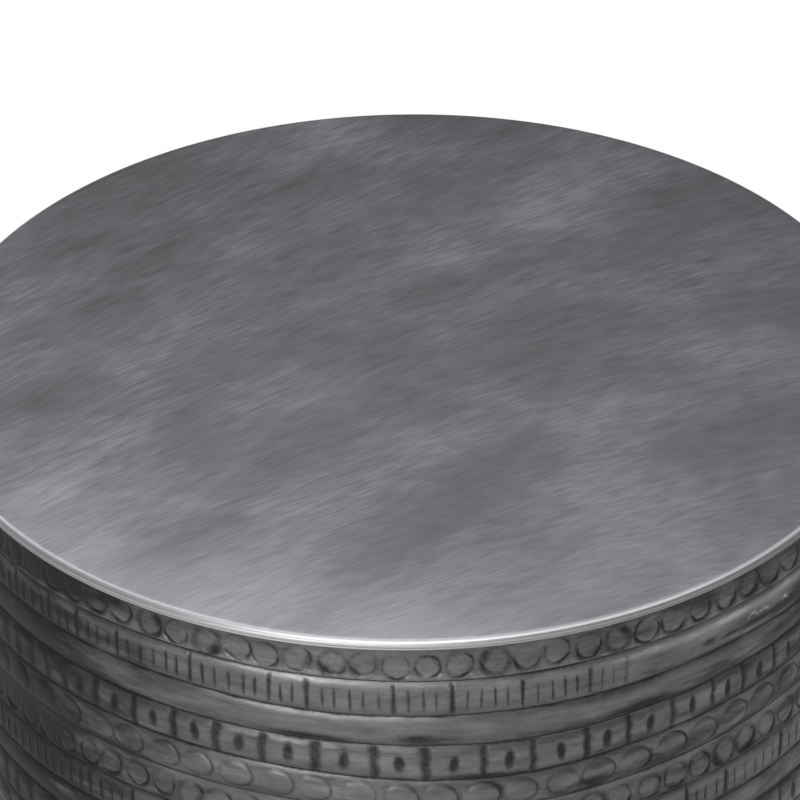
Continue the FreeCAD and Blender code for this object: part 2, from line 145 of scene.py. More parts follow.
# Screws, washers and nuts: pressed steel, plated with bright zinc that has gone a little cloudy.
ZINC_CLOUD = 2.5 * MM
zinc_plate, tree, shader = finish_of("clouded_zinc_plate", {"Metallic": 1.0})
where = add(tree, "ShaderNodeTexCoord").outputs["Object"]
bloom = patches(tree, where, [ZINC_CLOUD] * 3, 4.0)
colour = add(tree, "ShaderNodeValToRGB", {"Fac": bloom}, [(0.35, "#9a9ca0"), (0.65, "#c0c2c4")])
tree.links.new(colour.outputs["Color"], shader.inputs["Base Color"])
gloss = add(tree, "ShaderNodeMapRange", {"Value": bloom, "To Min": 0.42, "To Max": 0.24})
tree.links.new(gloss.outputs["Result"], shader.inputs["Roughness"])
for part in ("ring_screws", "brace_screws", "foot_screws", "foot_washers", "foot_nuts"):
    dress(part, zinc_plate)


# Foot pads: four moulded discs of black rubber bolted under the lower ring, matt with a fine mould grain.
MOULD_GRAIN = 0.8 * MM
black_rubber, tree, shader = finish_of("moulded_black_rubber", {"Metallic": 0.0})
where = add(tree, "ShaderNodeTexCoord").outputs["Object"]
grain = patches(tree, where, [MOULD_GRAIN] * 3)
colour = add(tree, "ShaderNodeValToRGB", {"Fac": grain}, [(0.3, "#161616"), (0.7, "#232323")])
tree.links.new(colour.outputs["Color"], shader.inputs["Base Color"])
matt = add(tree, "ShaderNodeMapRange", {"Value": grain, "To Min": 0.62, "To Max": 0.8})
tree.links.new(matt.outputs["Result"], shader.inputs["Roughness"])
pebble = add(tree, "ShaderNodeBump", {"Height": grain, "Strength": 0.3, "Distance": 0.1 * MM})
tree.links.new(pebble.outputs["Normal"], shader.inputs["Normal"])
for corner in ("back_right", "back_left", "front_left", "front_right"):
    dress(f"foot_pad_{corner}", black_rubber)


# Wall: one steel sheet, beaded into 28 rows and chased from outside with hand punches, then blackened
# and rubbed back, so that soot-dark patina stays in every crease and punch mark. Each row is meshed as
# a closed ring of the sheet, and the rings meet in the creases.
RIM_RADIUS = 202.92
WALL_RADIUS = 198.3  # of the sheet before it was beaded
CREASE_RADIUS = 199.0
GAUGE = 1.2  # of both sheets
BULGE = 1.3  # of the middle of a row over its creases
ROWS_TOP = 452.2
ROWS = [("rings", 16.0), ("ticks", 17.0), ("plain", 14.4), ("blocks", 16.3), ("discs", 15.2)]
ROW_COUNT = 28
CREASE_SEED, ROW_SEED = 100, 300  # added to the number of the crease or row
WANDER = 0.25  # how far a crease strays from level by itself
WANDER_WAVES, SOOT_WAVES = (2, 3, 5, 7, 11), (9, 17, 31, 53, 89)  # waves round the drum
DROPS = {1: 0.6, 2: 0.4, 3: -0.2, 4: -1.2, 5: -0.4, 6: 0.3, 7: 0.2}  # creases beaded off their line
BENDS = [  # and bent: degrees round, width, and how far each crease drops there
    (10, 20, {1: 0.3, 2: 1.0, 3: 2.2, 4: 4.0, 5: 3.2, 6: 0.8}),
    (-30, 13, {1: -1.5, 2: -1.1}),
    (-56, 15, {4: 1.5, 5: 2.3, 6: 2.0, 7: 2.2}),
    (50, 7, {1: 1.0, 2: 2.0}),
]
GIRTH = 2 * math.pi * CREASE_RADIUS
ROW_MESH = {  # spacing of the mesh round the row and up it
    "rings": (0.6, 0.6),
    "ticks": (0.45, 0.8),
    "plain": (2.4, 0.6),
    "blocks": (0.5, 0.75),
    "discs": (0.7, 0.65),
}
INSIDE_LINES = 4  # of the mesh up the inside of a row
CROWNS = {  # how far down the crest is, how full the row is above it and below it
    "rings": (0.86, 0.65, 3.0),
    "ticks": (0.3, 2.4, 6.0),
    "plain": (0.42, 2.2, 2.4),
    "blocks": (0.3, 2.0, 6.0),
    "discs": (0.4, 2.2, 2.8),
}
MARKS_ROUND = {"rings": 99, "blocks": 63, "discs": 77}
BLOCK_DRIFT = 0.09  # the blocks are struck wider apart at the front
FIRST_MARKS = {0: -1.8, 3: 1.4, 4: -1.6, 5: -0.9}  # where the first blow of a row fell, in degrees
RING_RADII, DISC_RADII = (4.7, 5.3), (5.7, 6.2)
TICK_STEPS, TICKS_TO_BOLD = (4.6, 6.2), (2, 6)  # spacing of the ticks, and how many to the next broad one
RING_REACH, DISC_REACH, CHISEL_REACH = 7.5, 8.5, 5.0  # how far round the row a blow marks it
WORN_ROW, WORN_ANGLE, WORN_WIDTH = 1, math.radians(38), math.radians(15)  # rubbed nearly smooth here
WORN_SHINE, WORN_LEVEL, WORN_HEIGHT = 2.2, 3.5, 2.5  # and a painted highlight this far under the row's top crease
SMUDGES = [  # smoky stains: row, degrees round, height over the row's middle, half width and half height
    (0, -45, 1.0, 3.0, 4.0),
    (0, -36, 3.0, 2.5, 2.5),
    (1, 36, -2.0, 0.9, 1.3),
    (1, 39, -3.0, 1.3, 0.9),
    (1, 43, -3.5, 2.2, 1.3),
    (1, 47, -2.8, 2.2, 1.7),
    (1, 52, -2.5, 3.0, 3.0),
    (2, -12, -5.0, 5.0, 1.6),
    (2, 0.5, -3.5, 2.0, 2.4),
    (2, 27, -4.5, 3.5, 2.2),
    (3, 8, -6.5, 5.0, 1.5),
    (4, 21, -3.0, 2.0, 3.0),
]
STAIN_NOOK, STAIN_SOOT = 1.5, 0.7  # how dark they make the haze and the marks
SCRATCHES = [(1, 42.6, 1.6, 0.8), (1, 44.4, 1.2, 0.9), (1, 48.2, 0.6, 0.5)]  # bare arcs, told likewise
SCRATCH_BURR, SCRATCH_SHINE = 0.5, 4.5  # how far they stand out, and how bright their painted glint is
SCRATCH_HEIGHT, SCRATCH_BEND = 0.6, 1.2
HEAVY = [(-56, 19, 2.3), (60, 15, 1.15)]  # painted shade towards the left and right sides of the drum: degrees, width and how much
HEAVY_ROWS = 10  # and how many rows down it fades
SHINES, SHINE = {0: 0.9, 1: 1.1, 4: 0.5}, 0.1  # how strong the painted highlight is on the up-facing shoulders of the rows
SHOULDER_LEVEL, SHOULDER_HEIGHT = 2.0, 2.0  # below the crease, where the painted highlight lies
RUBBED_ANGLE, RUBBED_WIDTH = math.radians(-8), math.radians(22)  # the wall is painted lighter about here, at the front
RUBBED_SHINE, RUBBED_CLEAN = 1.4, 0.25  # how much lighter that painted highlight makes it, and how much of the soot it lifts
DULLED = {3: 1.2, 4: 1.7}  # but there the painted highlight is weaker over these shoulders
GATHERS, GATHER = {"plain": 5.5, "blocks": 3.5, "discs": 6.0}, 3.0  # how high over a row's foot painted shade reaches, on the lower part that faces down
RIM_GATHER = 6.0  # and how far down from the rim painted shade reaches on the first row
INSIDE_SOOT = 0.3  # all over the inside of the wall


def bell(value, middle, width, power=2):
    """Smooth bump, which is 1 at the middle and fades out over about the width."""
    return np.exp(-(((value - middle) / width) ** power))


def within(value, reach, softness):
    """Soft step, which is 1 well inside the reach and 0 well outside it."""
    return 1 / (1 + np.exp((value - reach) / softness))


def round_from(place, arc):
    """Distance round the row from a place, the short way, in millimetres of arc."""
    return (arc - place + GIRTH / 2) % GIRTH - GIRTH / 2


def crease_height(index, angle):
    """Height of a crease round the drum; index 0 is under the rim and ROW_COUNT at the foot."""
    periods, extra = divmod(index, len(ROWS))
    fall = periods * sum(height for _, height in ROWS) + sum(height for _, height in ROWS[:extra])
    level = np.full_like(angle, ROWS_TOP - fall)
    if index in (0, ROW_COUNT):
        return level
    own = np.random.default_rng(CREASE_SEED + index)
    for waves in WANDER_WAVES:
        swing = WANDER * own.normal() / math.sqrt(waves)
        level += swing * np.cos(waves * angle + own.uniform(0, 2 * math.pi))
    level -= DROPS.get(index, 0)
    for degrees, width, drops in BENDS:
        level -= drops.get(index, 0) * bell(np.degrees(angle), degrees, width)
    return level


def ring_punch(across, up, own):
    """Tube punch held askew, which leaves a thin groove and a sunken crescent, painted dark as shade on the
    side it leans to, mostly the lower right. Returns relief and soot with that painted shade.
    """
    turn = np.arctan2(up, across)
    lean = own.normal(-0.9, 1.2)
    radius = own.uniform(*RING_RADII) + 0.15 * np.cos(2 * turn + 3 * lean) + 0.1 * np.cos(5 * turn + 7 * lean)
    askew = max(own.uniform(-0.4, 1.3), 0)
    reach = np.hypot(across * 0.98, up * 0.93)
    side = np.cos(turn - lean)
    bite = np.clip(own.uniform(0.55, 0.95) + 0.3 * side + 0.3 * np.cos(3 * turn + 5 * lean), 0, 1.1)
    groove = bell(reach, radius, 0.4 + 0.3 * bite) * bite
    # painted shade: the crescent is darkened on the side the punch leans to, mostly the lower right, over its
    # deeper bite
    crescent = bell(reach - radius, -0.8, 2.0) * askew * np.clip(side, 0, 1) ** 1.5
    lip = bell(reach - radius, 1.4, 0.6) * bite
    halo = 0.35 * bell(reach - radius, 0.5, 1.5) * (askew + 0.5)
    dome = np.clip(1 - (reach / radius) ** 2, 0, 1)
    fill = max(own.uniform(-0.15, 0.2), 0) * (reach < radius)
    relief = 0.32 * dome + 0.12 * lip - 0.5 * groove - 0.55 * crescent
    return relief, np.maximum.reduce([0.92 * groove, 0.85 * crescent, fill, halo])


def disc_punch(across, up, own):
    """Broad cupped punch, which raises a dome inside a thin edge; the edge, and a patch beside some of them,
    are painted dark as shade on the side each leans to, mostly the lower right.
    """
    radius = own.uniform(*DISC_RADII)
    lean = own.normal(-0.7, 0.7)
    strength = own.uniform(0.55, 1.1)
    smear = max(own.uniform(-0.8, 1.0), 0)
    reach = np.hypot(across * 0.86, up * 0.98)
    side = np.cos(np.arctan2(up, across) - lean)
    # painted shade: the edge and the patch beside it are darker on the side the punch leans to, mostly the
    # lower right
    edge = bell(reach, radius, 0.55) * strength * (0.62 + 0.38 * side)
    beside = bell(reach - radius, 0.8, 1.2) * smear * np.clip(side, 0, 1) ** 2
    dome = np.sqrt(np.clip(1 - (reach / radius) ** 2, 0, 1))
    return 0.8 * dome * strength - 0.4 * edge - 0.25 * beside, np.maximum(edge, beside)


def tick_chisel(across, up, own, bold, hand):
    """One blow of a narrow chisel, or of a broad wedge where bold; hand is how wide it was rocked."""
    width = own.uniform(0.8, 1.15) if bold else own.uniform(0.35, 0.55) + 0.45 * hand
    half = own.uniform(6.6, 7.4) if bold else own.uniform(4.0, 5.6)
    middle = own.uniform(-0.4, 0.2) if bold else own.uniform(-1.6, -0.4)
    off = across - own.uniform(-0.04, 0.04) * up
    taper = 1 + own.uniform(-0.4, 0.4) * (up - middle) / half
    ends = within(np.abs(up - middle), half, 0.6)
    cut = bell(off, 0, width * taper) * ends
    burr = bell(np.abs(off), 1.3 * width, 0.8) * ends
    depth = 0.45 if bold else own.uniform(0.2, 0.4) + 0.4 * hand
    sooty = own.uniform(0.85, 1.0) if bold else own.uniform(0.55, 0.9)
    return (0.08 + 0.2 * hand) * burr - depth * cut, sooty * cut


def bar_chisel(across, up, own, hand):
    """Dark bar between two blocks: upright blows side by side, more of them the larger hand is."""
    span = own.uniform(0.7, 1.3) + own.uniform(0.8, 1.2) * hand
    middle = own.uniform(-0.04, 0.04) * up + 0.25 * np.sin(up * own.uniform(0.5, 0.9) + own.uniform(0, 6))
    trough = within(np.abs(across - middle), span, 0.45)
    blows = np.cos(2 * math.pi * (across / own.uniform(1.1, 1.6) + own.random()))
    return -(0.4 + 0.05 * blows) * trough, (own.uniform(0.78, 0.92) + 0.08 * blows) * trough


def oval_punch(across, up, own, hand):
    """Upright oval struck in the middle of a block, darkest at its top with painted shade, and wider the
    larger hand is.
    """
    wide = own.uniform(1.3, 1.8) + own.uniform(0.5, 0.8) * hand
    tall = own.uniform(4.5, 5.5)
    reach = np.hypot((across - own.uniform(-0.1, 0.1) * up) / wide, up / tall)
    bowl = within(reach, 0.92, 0.15)
    lip = bell(reach, 1.25, 0.2) * np.clip(-(up + 0.6) / 3, 0, 1)
    # the dimple's soot is graded darker towards its top, a painted shade on its upper wall
    return 0.2 * lip - 0.5 * bowl, bowl * np.clip(own.uniform(0.78, 1.0) + 0.06 * up, 0.55, 1)


def strike(relief, soot, arc, up, place, punch, reach, *settings):
    """Adds one punch mark at a place round the row, in millimetres of arc from the front."""
    across = round_from(place, arc)
    near = np.abs(across) < reach
    mark, dark = punch(across[near][None, :], up[:, near], *settings)
    relief[:, near] += mark
    soot[:, near] = np.maximum(soot[:, near], dark)


def chase(number, kind, arc, up, own):
    """Relief in millimetres and soot from 0 to 1 that the punches leave on a row."""
    relief = np.zeros_like(up)
    soot = np.zeros_like(up)
    first = math.radians(FIRST_MARKS.get(number, own.uniform(0, 6)))
    count = MARKS_ROUND.get(kind, 0)
    turns = first + (np.arange(count) + own.uniform(-0.07, 0.07, count)) * 2 * math.pi / max(count, 1)
    if kind == "rings":
        for turn in turns:
            drop = own.uniform(-0.3, 1.2)
            strike(relief, soot, arc, up + drop, turn * CREASE_RADIUS, ring_punch, RING_REACH, own)
    elif kind == "discs":
        for turn in turns:
            strike(relief, soot, arc, up, turn * CREASE_RADIUS, disc_punch, DISC_REACH, own)
    elif kind == "ticks":
        place, until_bold = -0.5 * GIRTH, 3
        while place < 0.5 * GIRTH:
            bold = until_bold == 0
            until_bold = own.integers(*TICKS_TO_BOLD) if bold else until_bold - 1
            hand = 0.5 - 0.5 * math.sin(place / CREASE_RADIUS)
            strike(relief, soot, arc, up, place, tick_chisel, CHISEL_REACH, own, bold, hand**2)
            place += own.uniform(*TICK_STEPS)
    elif kind == "blocks":
        bars = (turns + BLOCK_DRIFT * np.sin(4 * turns) / 4) * CREASE_RADIUS
        for bar, following in zip(bars, [*bars[1:], bars[0] + GIRTH]):
            hand = min(max(0.8 - 1.4 * math.sin(bar / CREASE_RADIUS), 0), 1)
            strike(relief, soot, arc, up, bar, bar_chisel, CHISEL_REACH, own, hand)
            middle = (bar + following) / 2 + own.uniform(-0.6, 0.6)
            across = round_from(middle, arc)
            relief += 0.3 * np.clip(1 - (2 * across / (following - bar)) ** 2, 0, 1) ** 0.5
            strike(relief, soot, arc, up, middle, oval_punch, CHISEL_REACH, own, hand)
    if number == WORN_ROW:
        worn = np.clip(1.15 * bell(arc / CREASE_RADIUS, WORN_ANGLE, WORN_WIDTH, 4), 0, 0.97)
        relief *= 1 - worn
        soot *= 1 - worn
    return relief, soot


def closed_grid(name, points, **layers):
    """Mesh from rings of points that close on themselves both ways: lines by columns by xyz."""
    lines, columns, _ = points.shape
    index = np.arange(lines * columns).reshape(lines, columns)
    right = np.roll(index, -1, axis=1)
    quads = np.stack([index, np.roll(index, -1, axis=0), np.roll(right, -1, axis=0), right], -1)
    mesh = bpy.data.meshes.new(name)
    mesh.vertices.add(lines * columns)
    mesh.vertices.foreach_set("co", (points * MM).ravel())
    mesh.loops.add(quads.size)
    mesh.loops.foreach_set("vertex_index", quads.ravel())
    mesh.polygons.add(lines * columns)
    mesh.polygons.foreach_set("loop_start", np.arange(0, quads.size, 4))
    mesh.polygons.foreach_set("use_smooth", np.ones(lines * columns, bool))
    mesh.update(calc_edges=True)
    for layer_name, values in layers.items():
        layer = mesh.attributes.new(layer_name, "FLOAT", "POINT")
        layer.data.foreach_set("value", np.broadcast_to(values, (lines, columns)).ravel())
    piece = bpy.data.objects.new(name, mesh)
    bpy.context.scene.collection.objects.link(piece)
    return piece


def turned(radius, angle, height):
    """Points on a turned surface; angle 0 is the front, -Y, and grows towards +X."""
    radius, angle, height = np.broadcast_arrays(radius, angle, height)
    return np.stack([radius * np.sin(angle), -radius * np.cos(angle), height], -1)


def wall_row(number):
    """One beaded and chased row as a closed ring of sheet, meshed finely outside and coarsely inside."""
    kind, nominal = ROWS[number % len(ROWS)]
    own = np.random.default_rng(ROW_SEED + number)
    across, along = ROW_MESH[kind]
    columns = int(GIRTH / across)
    angle = np.linspace(-math.pi, math.pi, columns, endpoint=False)
    top = crease_height(number, angle)
    foot = crease_height(number + 1, angle)
    step = np.linspace(0, 1, int(nominal / along) + 1)[:, None]
    part = step - 0.4 * np.sin(2 * math.pi * step) / (2 * math.pi)  # closer lines by the creases
    height = top + (foot - top) * part
    up = height - (top + foot) / 2
    crest, fullness, undercut = CROWNS[kind]
    rise = 1 - np.clip(1 - part / crest, 0, 1) ** fullness
    crown = rise - np.clip((part - crest) / (1 - crest), 0, 1) ** undercut
    relief, soot = chase(number, kind, angle * CREASE_RADIUS, up, own)
    bare = np.zeros_like(up)
    for row, degrees, level, half_width in SCRATCHES:
        if row == number:
            aside = (np.degrees(angle) - degrees) / half_width
            bare += np.exp(-(aside**4) - ((up - level + SCRATCH_BEND * aside**2) / SCRATCH_HEIGHT) ** 2)
    relief += SCRATCH_BURR * bare
    fade = np.clip(crown * 1.25, 0, 1) ** 1.5  # a punch bites less towards the creases
    radius = CREASE_RADIUS + BULGE * crown + relief * fade
    from_top = part * (top - foot)
    from_foot = (1 - part) * (top - foot)
    spread = 0.45 * np.ones_like(angle)
    for waves in SOOT_WAVES:
        spread += 0.09 * own.normal() * np.cos(waves * angle + own.uniform(0, 2 * math.pi))
    spread = np.clip(spread, 0.2, 1.0)
    crease = (0.6 + 0.5 * spread) * bell(np.minimum(from_top, from_foot), 0, spread)
    soot = np.maximum(soot * np.clip(crown * 4, 0, 1), crease)
    # painted shade on the lower part of each row, and on the first row under the rim
    nook = np.maximum(soot, bell(from_foot, 0, GATHERS.get(kind, GATHER)))
    if number == 0:
        nook = np.maximum(soot, bell(from_top, 0, RIM_GATHER))
    edge = from_foot if number == 0 else from_top  # painted highlight on each row's upper shoulder, and on the first row's lower part
    shoulder = bell(edge, SHOULDER_LEVEL, SHOULDER_HEIGHT)
    # painted highlight across the front of the wall, which also thins the soot there
    rubbed = bell(angle, RUBBED_ANGLE, RUBBED_WIDTH)
    shine = SHINES.get(number, SHINE) * shoulder
    shine = shine + rubbed * (RUBBED_SHINE - DULLED.get(number, 0.0) * shoulder)
    soot = soot * (1 - RUBBED_CLEAN * rubbed)
    # the worn patch also gets a painted highlight on its shoulder, under the top crease
    if number == WORN_ROW:
        worn = bell(angle, WORN_ANGLE, WORN_WIDTH, 4)
        shine = shine + WORN_SHINE * worn * bell(from_top, WORN_LEVEL, WORN_HEIGHT)
    # painted highlights and glints lighten the haze here
    nook = nook - shine - SCRATCH_SHINE * bare
    # painted shade darkening the sides of the drum, fading down the rows
    for degrees, width, weight in HEAVY:
        weight *= math.exp(-((number / HEAVY_ROWS) ** 4))
        nook = nook + weight * bell(np.degrees(angle), degrees, width)
    for row, degrees, level, half_width, half_height in SMUDGES:
        if row == number:
            aside = (np.degrees(angle) - degrees) / half_width
            stain = np.exp(-(aside**2) - ((up - level) / half_height) ** 2)
            nook = nook + STAIN_NOOK * stain
            soot = np.maximum(soot, STAIN_SOOT * stain)
    inner_part = np.linspace(1, 0, INSIDE_LINES)[:, None]
    inner_height = top + (foot - top) * inner_part
    inner_radius = WALL_RADIUS - GAUGE + BULGE * (1 - (2 * inner_part - 1) ** 2)
    points = np.concatenate([turned(radius, angle, height), turned(inner_radius, angle, inner_height)])
    inside = np.full(inner_height.shape, INSIDE_SOOT)
    return closed_grid(
        f"wall_row_{number + 1:02d}_{kind}",
        points,
        soot=np.concatenate([soot, inside]),
        nook=np.concatenate([nook, inside]),
    )


# Blackened steel, rubbed back: satin grey metal on the crests, matt soot in the hollows, with smoky
# streaks that run round the drum where the rubbing pad went. Its haze and tone also carry the painted
# shade, highlights and glints that the rows were given.
CLOUD_SIZE = 90 * MM
SMOKE_LONG, SMOKE_TALL = 22 * MM, 5 * MM
SCUFF_LONG, SCUFF_TALL = 5 * MM, 0.7 * MM
GRIT = 1.5 * MM
GRIT_SHARE = 0.7  # of the grit in the ragged edges of the marks
HAZE_SHARES = (0.5, 0.26, 0.28)  # of clouds, of painted light and stains, and of scuffs in the smoky haze
STREAK_SHARES = (0.45, 0.2)  # of scuffs, and of painted light and stains, in the tone of the bare metal
MARKS_FROM, MARKS_TO, MARKS_MOST = 0.42, 1.1, 0.9
HAZE_FROM, HAZE_TO, HAZE_MOST = 0.925, 1.325, 0.86
chased_steel, tree, shader = finish_of("chased_blackened_steel", {"Metallic": 1.0})
where = add(tree, "ShaderNodeTexCoord").outputs["Object"]
clouds = patches(tree, where, [CLOUD_SIZE] * 3)
smoke = patches(tree, where, [SMOKE_LONG, SMOKE_LONG, SMOKE_TALL], 5.0)
scuffs = patches(tree, where, [SCUFF_LONG, SCUFF_LONG, SCUFF_TALL], 3.0)
grit = patches(tree, where, [GRIT] * 3, 3.0)
soot = add(tree, "ShaderNodeAttribute", attribute_name="soot").outputs["Fac"]
nook = add(tree, "ShaderNodeAttribute", attribute_name="nook").outputs["Fac"]
ragged = layered(tree, [grit], [GRIT_SHARE], soot)
marks = {"Value": ragged, "From Min": MARKS_FROM, "From Max": MARKS_TO, "To Max": MARKS_MOST}
marks = add(tree, "ShaderNodeMapRange", marks).outputs["Result"]
gathered = layered(tree, [clouds, nook, scuffs], HAZE_SHARES, smoke)
haze = {"Value": gathered, "From Min": HAZE_FROM, "From Max": HAZE_TO, "To Max": HAZE_MOST}
haze = add(tree, "ShaderNodeMapRange", haze).outputs["Result"]
dark = add(tree, "ShaderNodeMath", {0: marks, 1: haze}, operation="MAXIMUM").outputs[0]
streaks = layered(tree, [scuffs, nook], STREAK_SHARES, smoke)
metal = [(0.0, "#d0d0d0"), (0.22, "#a8a7a9"), (0.47, "#8f8e90"), (0.72, "#7a797b"), (0.97, "#676668")]
metal = add(tree, "ShaderNodeValToRGB", {"Fac": streaks}, metal).outputs["Color"]
base = {"Factor": dark, "A": metal, "B": linear("#3d3b3b")}
base = add(tree, "ShaderNodeMix", base, data_type="RGBA").outputs["Result"]
tree.links.new(base, shader.inputs["Base Color"])
matt = add(tree, "ShaderNodeMapRange", {"Value": dark, "To Min": 0.33, "To Max": 0.55})
tree.links.new(matt.outputs["Result"], shader.inputs["Roughness"])
tooth = add(tree, "ShaderNodeBump", {"Height": scuffs, "Strength": 0.24, "Distance": 0.1 * MM})
tree.links.new(tooth.outputs["Normal"], shader.inputs["Normal"])

for number in range(ROW_COUNT):
    row = wall_row(number)
    row.data.materials.append(chased_steel)
    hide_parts("drum_shell")
    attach(row, "root")


# Rolled foot of the wall, which goes round the rim wire, and the hem at the wall's top that the top
# sheet is folded over. Both are part of the wall's one sheet and have its finish.
COLUMNS = 720  # of the mesh round both


def turned_piece(name, profile, **layers):
    """Closed ring turned from a closed profile of radius and height."""
    angle = np.linspace(-math.pi, math.pi, COLUMNS, endpoint=False)
    radius, height = np.array(profile).T[:, :, None]
    return closed_grid(name, turned(radius, angle, height), **layers)


ROLL_RADIUS, ROLL_MIDDLE, ROLL_LEVEL = 2.85, 199.95, 6.85
ROLL_OUT, ROLL_BACK = range(125, -150, -11), range(-150, 126, 11)  # degrees round it, outside and inside
ROWS_FOOT = 10.3
roll = [(WALL_RADIUS, ROWS_FOOT)]
for reach, bend in ((ROLL_RADIUS, ROLL_OUT), (ROLL_RADIUS - GAUGE, ROLL_BACK)):
    for degrees in bend:
        turn = math.radians(degrees)
        roll.append((ROLL_MIDDLE + reach * math.cos(turn), ROLL_LEVEL + reach * math.sin(turn)))
roll.append((WALL_RADIUS - GAUGE, ROWS_FOOT))
foot_roll = turned_piece("wall_foot_roll", roll, soot=0.15, nook=0.4)

HEM_TOP, HEM_REACH = 455.8, 201.5
hem = [(WALL_RADIUS, ROWS_TOP), (WALL_RADIUS, HEM_TOP - 2 * GAUGE), (HEM_REACH, HEM_TOP - 2 * GAUGE)]
hem += [(HEM_REACH, HEM_TOP), (WALL_RADIUS - GAUGE, HEM_TOP), (WALL_RADIUS - GAUGE, ROWS_TOP)]
# the hem's darker haze is painted shade under the top sheet's fold
wall_hem = turned_piece("wall_hem", hem, soot=0.5, nook=0.6)
for piece in (foot_roll, wall_hem):
    piece.data.materials.append(chased_steel)
    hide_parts("drum_shell")
    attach(piece, "root")


# Top sheet: one disc of steel, turned down over the board and folded under the wall's hem, its edge
# burnished and painted with a highlight. The face is brushed by hand in short strokes and left smoky by
# the blackening, with a painted sheen by its front left edge and painted shading across it.
RIM_LEVEL = 457.0
EDGE_REACH, EDGE_FALL = 2.7, 2.3  # the edge rounds over gently from the face to the rim's full width
FOLD_INSIDE, SKIRT_INSIDE = 198.6, 201.8
BURNISH_FROM, BURNISH_TO = 9, 40  # lean of the edge in degrees where its painted highlight starts and is full
WORN_EDGE, WORN_SIDE = 50, math.radians(-18)  # a painted sheen lightens the face this far in, most at this side
STEEP_FROM, STEEP_TO, STEEP_FADE = 0.5, 1.4, 0.85  # this far down, the edge keeps its painted highlight in front only
STEEP_SIDE, STEEP_SPREAD = math.radians(-12), math.radians(38)  # front here is this way and this wide
FACE_RADII = (0.05, 0.2, 1, 30, 60, 90, 110, 130, 145, 160, 170, 180, 188, 194, 197.5)
FOLD = [  # in from the rim's full width, down from the face, and burnish with painted highlight
    (0.0, 2.7, 1.0),
    (0.25, 2.95, 0.1),
    (0.03, 3.25, 1.0),
    (0.03, 3.55, 1.0),
    (0.25, 4.0, 0.8),
    (0.9, 4.5, 0.2),
    (1.8, 4.8, 0.0),
]
RIM_COLUMNS = 1440  # of the mesh round the top sheet
profile = [(radius, RIM_LEVEL, 0.0) for radius in FACE_RADII]
for degrees in range(0, 91, 6):
    turn = math.radians(degrees)
    out = RIM_RADIUS - EDGE_REACH * (1 - math.sin(turn))
    down = RIM_LEVEL - EDGE_FALL * (1 - math.cos(turn))
    leaning = math.degrees(math.atan2(EDGE_FALL * math.sin(turn), EDGE_REACH * math.cos(turn)))
    burnish = (leaning - BURNISH_FROM) / (BURNISH_TO - BURNISH_FROM)
    profile.append((out, down, min(max(burnish, 0), 1)))
for inward, fall, burnish in FOLD:
    profile.append((RIM_RADIUS - inward, RIM_LEVEL - fall, burnish))
profile += [(FOLD_INSIDE, ROWS_TOP, 0.0), (FOLD_INSIDE, ROWS_TOP + GAUGE, 0.0)]
profile += [(SKIRT_INSIDE, ROWS_TOP + GAUGE, 0.0), (SKIRT_INSIDE, HEM_TOP, 0.0)]
profile += [(FACE_RADII[0], HEM_TOP, 0.0)]
radius, height, burnish = np.array(profile).T[:, :, None]
rim_angle = np.linspace(-math.pi, math.pi, RIM_COLUMNS, endpoint=False)
# painted highlight on the edge: kept where it leans towards the light, and in front lower down
steep = np.clip((RIM_LEVEL - height - STEEP_FROM) / (STEEP_TO - STEEP_FROM), 0, 1)
aside = 1 - bell(rim_angle, STEEP_SIDE, STEEP_SPREAD)
rubbed = burnish * (1 - STEEP_FADE * steep * aside)
inward = np.maximum(RIM_RADIUS - radius, 0)
# painted sheen on the face near its edge, strongest at the front left
worn = bell(inward, 0, WORN_EDGE) * (0.5 + 0.5 * np.cos(rim_angle - WORN_SIDE)) ** 4
sheet = closed_grid("top_sheet_turned", turned(radius, rim_angle, height), rubbed=rubbed, worn=worn)

# Hand-brushed blackened steel: satin, with fine short strokes over slow smoky clouds, warm where dark, and
# with painted sheen and shading on the face and a painted highlight on the edge.
STROKE_ANGLE = -math.radians(33)
STROKE_FAN = (0.8, -0.6, 0.0)  # the strokes lie flatter to the right and the front, in radians to the metre
CLOUD_LONG, CLOUD_WIDE = 110 * MM, 60 * MM
SMUDGE_LONG, SMUDGE_WIDE = 17 * MM, 5.5 * MM
WEAR_LONG, WEAR_WIDE = 70 * MM, 45 * MM
STROKE_LONG, STROKE_WIDE = 11 * MM, 0.6 * MM
PRESSED = -1.2  # and show less there, for each radian of the fan
SHARES = (0.27, 0.22, 0.9, 0.25, 0.42)  # of clouds, smudges, strokes, the painted sheen by the edge, and painted shading lighter to the right and front, in the tone
brushed_steel, tree, shader = finish_of("hand_brushed_blackened_steel", {"Metallic": 1.0})
where = add(tree, "ShaderNodeTexCoord").outputs["Object"]
fan = add(tree, "ShaderNodeVectorMath", {0: where, 1: STROKE_FAN}, operation="DOT_PRODUCT").outputs["Value"]
swing = add(tree, "ShaderNodeMath", {0: fan, 1: STROKE_ANGLE}).outputs[0]
along = {"Vector": where, "Angle": swing}
along = add(tree, "ShaderNodeVectorRotate", along, rotation_type="Z_AXIS").outputs[0]
clouds = patches(tree, along, [CLOUD_LONG, CLOUD_WIDE, CLOUD_WIDE], 4.0)
smudges = patches(tree, along, [SMUDGE_LONG, SMUDGE_WIDE, SMUDGE_WIDE], 3.0)
wear = patches(tree, along, [WEAR_LONG, WEAR_WIDE, WEAR_WIDE])
strokes = patches(tree, along, [STROKE_LONG, STROKE_WIDE, STROKE_WIDE], 2.5)
pressed = layered(tree, [fan], [PRESSED], 1.0)
scratched = add(tree, "ShaderNodeMath", {0: strokes, 1: wear}, operation="MULTIPLY").outputs[0]
scratched = add(tree, "ShaderNodeMath", {0: scratched, 1: pressed}, operation="MULTIPLY").outputs[0]
worn = add(tree, "ShaderNodeAttribute", attribute_name="worn").outputs["Fac"]
